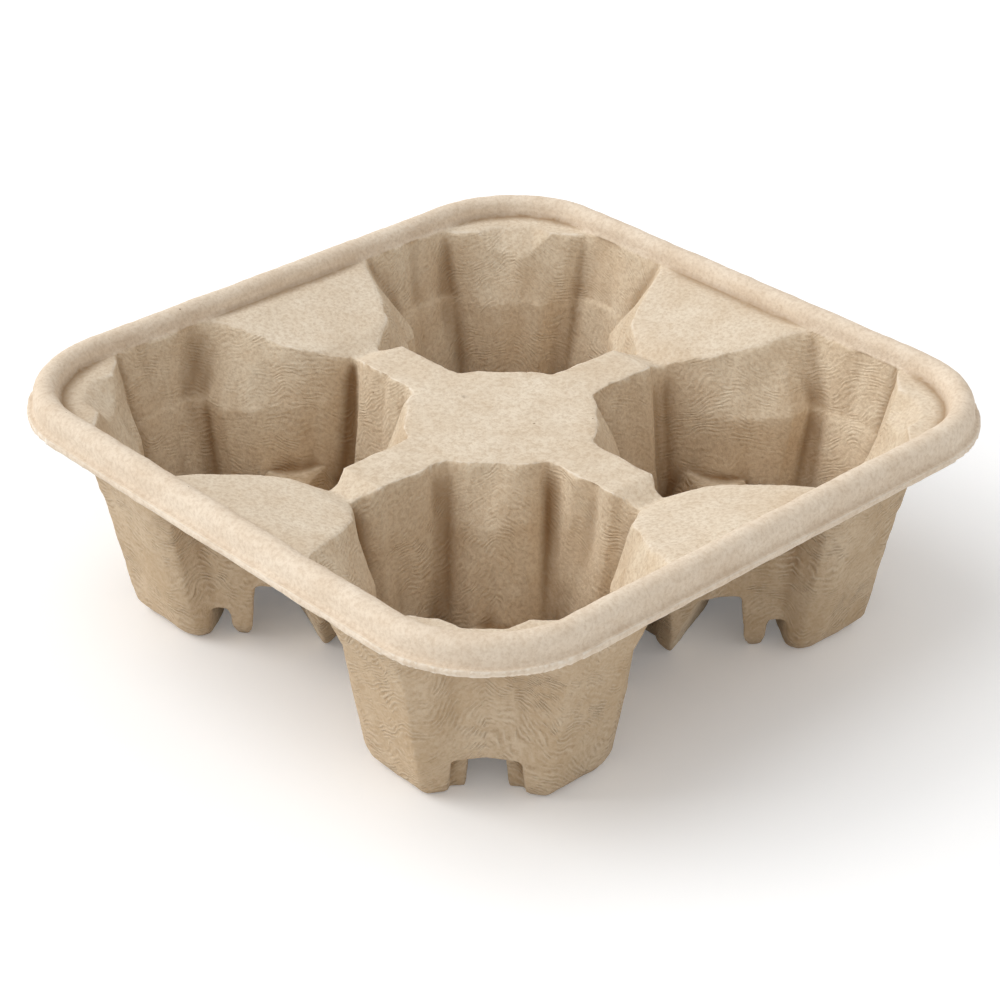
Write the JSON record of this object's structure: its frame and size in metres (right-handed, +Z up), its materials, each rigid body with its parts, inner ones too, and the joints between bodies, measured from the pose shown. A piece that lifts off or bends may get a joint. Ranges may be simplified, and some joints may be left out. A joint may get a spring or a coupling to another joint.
{
  "type": "cup carrier tray",
  "caption": "Square moulded pulp tray with a rolled rim, ribbed cup wells round a star-shaped deck, and feet parted by channels; carries takeaway drinks.",
  "frame": {"origin": "middle of the tray's outline, on the plane that its feet stand on", "axes": "+Z up through the centre of the star-shaped deck; +X and +Y along the tray's sides"},
  "size_m": [0.215, 0.215, 0.069],
  "materials": {
    "pulp": "matt, fibrous"
  },
  "bodies": {
    "root": {"carrier_tray": "pulp"}
  },
  "joints": []
}
